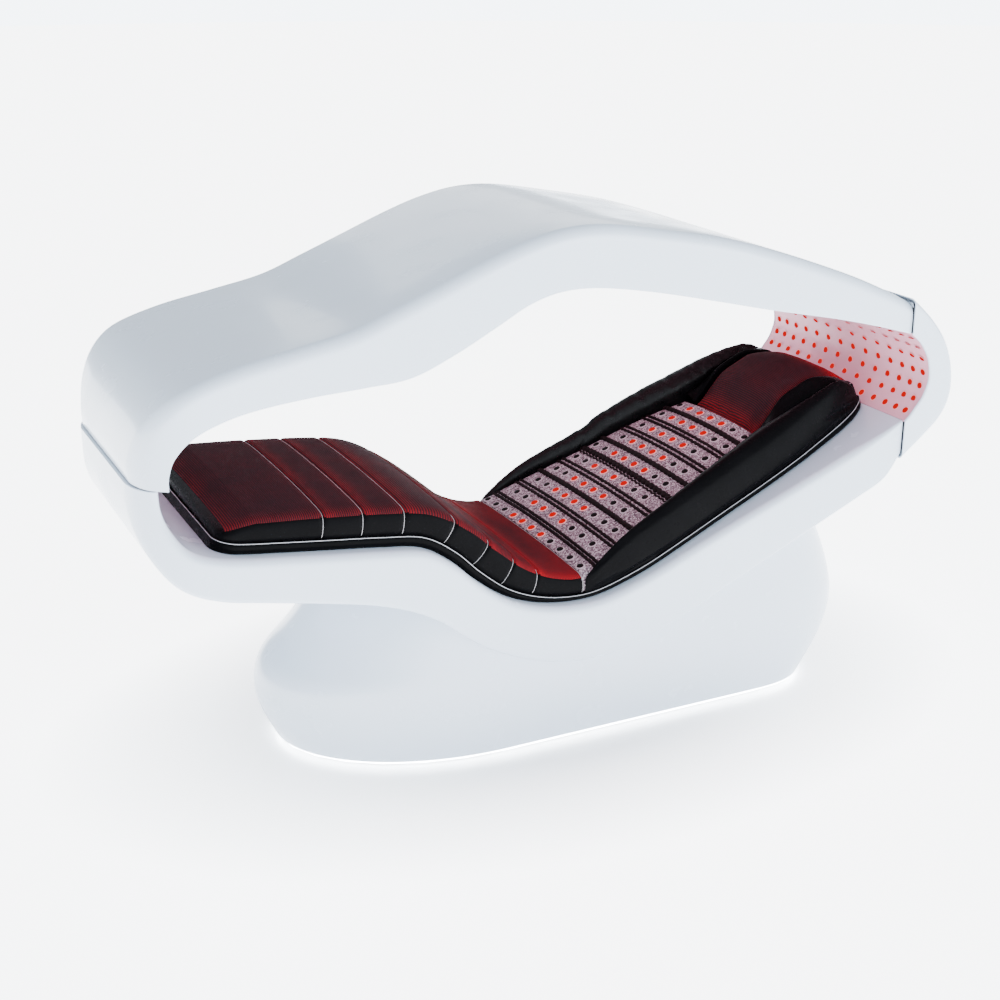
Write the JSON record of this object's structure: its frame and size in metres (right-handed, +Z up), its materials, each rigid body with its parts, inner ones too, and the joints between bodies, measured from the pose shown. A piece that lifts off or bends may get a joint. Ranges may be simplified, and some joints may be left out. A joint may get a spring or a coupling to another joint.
{
  "type": "red light therapy couch",
  "caption": "S-shaped lying couch on a closed pedestal, with a padded mattress, a lamp-lined head cap and a canopy that hinges up at the foot.",
  "frame": {"origin": "on the floor under the middle of the couch's length and width", "axes": "+X from the foot end to the head end, +Y across to the side away from the pictured one, +Z up"},
  "size_m": [2.3659, 0.77, 1.4328],
  "materials": {
    "gloss_shell": "glossy pale bluish-white moulded shell",
    "lamp_wall": "satin white wall set with rows of small red lamps",
    "lamp_board": "printed circuit board",
    "frame_steel": "grey powder-coated steel",
    "bright_steel": "turned steel",
    "glow_strip": "lit white light strip",
    "black_plastic": "black moulded plastic",
    "driver_casing": "bare aluminium casing",
    "foot_rubber": "black rubber",
    "bush_bronze": "sintered bronze",
    "black_leather": "soft black leather with fine grain, grey piping and creases",
    "red_mesh": "red ribs seen through fine black mesh",
    "speckled_knit": "speckled pinkish-grey knit with black braids, eyelets and red lamps"
  },
  "bodies": {
    "couch": {"head_cap_shell": "gloss_shell", "head_lamp_panel": "lamp_wall", "head_lamp_board": "lamp_board", "head_frame": "frame_steel", "tub_shell": "gloss_shell", "deck_panel": "gloss_shell", "tub_frame": "frame_steel", "pedestal_shell": "gloss_shell", "ground_frame": "frame_steel", "glow_strip": "glow_strip", "equipment_tray": "frame_steel", "control_unit": "black_plastic", "lamp_driver_1": "driver_casing", "lamp_driver_2": "driver_casing", "lamp_driver_3": "driver_casing", "vent_grille_1": "gloss_shell", "fan_housing_1": "black_plastic", "vent_grille_2": "gloss_shell", "fan_housing_2": "black_plastic", "inlet_panel": "gloss_shell", "mains_inlet": "black_plastic", "switch_body": "black_plastic", "hinge_bush_far": "bush_bronze", "hinge_bush_near": "bush_bronze", "frame_bolt_far_1": "bright_steel", "frame_bolt_far_2": "bright_steel", "frame_bolt_near_1": "bright_steel", "frame_bolt_near_2": "bright_steel", "nose_pad_far": "foot_rubber", "nose_pad_near": "foot_rubber", "bolster_far": "black_leather", "bolster_near": "black_leather", "pillow_wing_far": "black_leather", "pillow_wing_near": "black_leather", "mattress_base": "black_leather", "leg_pad": "red_mesh", "lamp_mat": "speckled_knit", "pillow": "red_mesh"},
    "canopy": {"canopy_shell": "gloss_shell", "canopy_liner": "lamp_wall", "canopy_lamp_board_1": "lamp_board", "canopy_lamp_board_2": "lamp_board", "canopy_lamp_board_3": "lamp_board", "canopy_frame": "frame_steel", "hinge_shaft": "bright_steel"},
    "actuator_body_far": {"actuator_tube_far": "driver_casing"},
    "actuator_body_near": {"actuator_tube_near": "driver_casing"},
    "actuator_piston_far": {"actuator_rod_far": "bright_steel"},
    "actuator_piston_near": {"actuator_rod_near": "bright_steel"},
    "fan_1": {"fan_rotor_1": "black_plastic"},
    "fan_2": {"fan_rotor_2": "black_plastic"},
    "mains_rocker": {"rocker_key": "black_plastic"},
    "foot_1": {"levelling_foot_1": "foot_rubber"},
    "foot_2": {"levelling_foot_2": "foot_rubber"},
    "foot_3": {"levelling_foot_3": "foot_rubber"},
    "foot_4": {"levelling_foot_4": "foot_rubber"}
  },
  "joints": [
    {"name": "canopy_hinge", "type": "hinge", "parent": "couch", "child": "canopy", "pos_m": [0.99925, 0, 1.12198], "axis": [0, 1, 0], "range_deg": [0, 20]},
    {"name": "actuator_pivot_far", "type": "hinge", "parent": "couch", "child": "actuator_body_far", "pos_m": [1.0382, 0.282, 1.06075], "axis": [0, 1, 0], "range_deg": [0, 16.6]},
    {"name": "actuator_pivot_near", "type": "hinge", "parent": "couch", "child": "actuator_body_near", "pos_m": [1.0382, -0.282, 1.06075], "axis": [0, 1, 0], "range_deg": [0, 16.6]},
    {"name": "actuator_travel_far", "type": "slide", "parent": "actuator_body_far", "child": "actuator_piston_far", "axis": [-0.9359, 0, 0.3522], "range_m": [0, 0.0122]},
    {"name": "actuator_travel_near", "type": "slide", "parent": "actuator_body_near", "child": "actuator_piston_near", "axis": [-0.9359, 0, 0.3522], "range_m": [0, 0.0122]},
    {"name": "fan_spin_1", "type": "hinge", "parent": "couch", "child": "fan_1", "pos_m": [0.07098, 0.34, 0.16491], "axis": [0, 1, 0], "continuous": true},
    {"name": "fan_spin_2", "type": "hinge", "parent": "couch", "child": "fan_2", "pos_m": [0.26026, 0.34, 0.16491], "axis": [0, 1, 0], "continuous": true},
    {"name": "mains_switch", "type": "hinge", "parent": "couch", "child": "mains_rocker", "pos_m": [-0.11446, 0.35213, 0.11], "axis": [-1, 0, 0], "range_deg": [0, 16]},
    {"name": "foot_travel_1", "type": "slide", "parent": "couch", "child": "foot_1", "axis": [0, 0, -1], "range_m": [0, 0.012]},
    {"name": "foot_travel_2", "type": "slide", "parent": "couch", "child": "foot_2", "axis": [0, 0, -1], "range_m": [0, 0.012]},
    {"name": "foot_travel_3", "type": "slide", "parent": "couch", "child": "foot_3", "axis": [0, 0, -1], "range_m": [0, 0.012]},
    {"name": "foot_travel_4", "type": "slide", "parent": "couch", "child": "foot_4", "axis": [0, 0, -1], "range_m": [0, 0.012]}
  ],
  "couplings": [
    {"joint": "actuator_pivot_far", "follows": "canopy_hinge", "ratio": 0.829},
    {"joint": "actuator_pivot_near", "follows": "canopy_hinge", "ratio": 0.829},
    {"joint": "actuator_travel_far", "follows": "canopy_hinge", "m_per_rad": 0.0346},
    {"joint": "actuator_travel_near", "follows": "canopy_hinge", "m_per_rad": 0.0346}
  ]
}
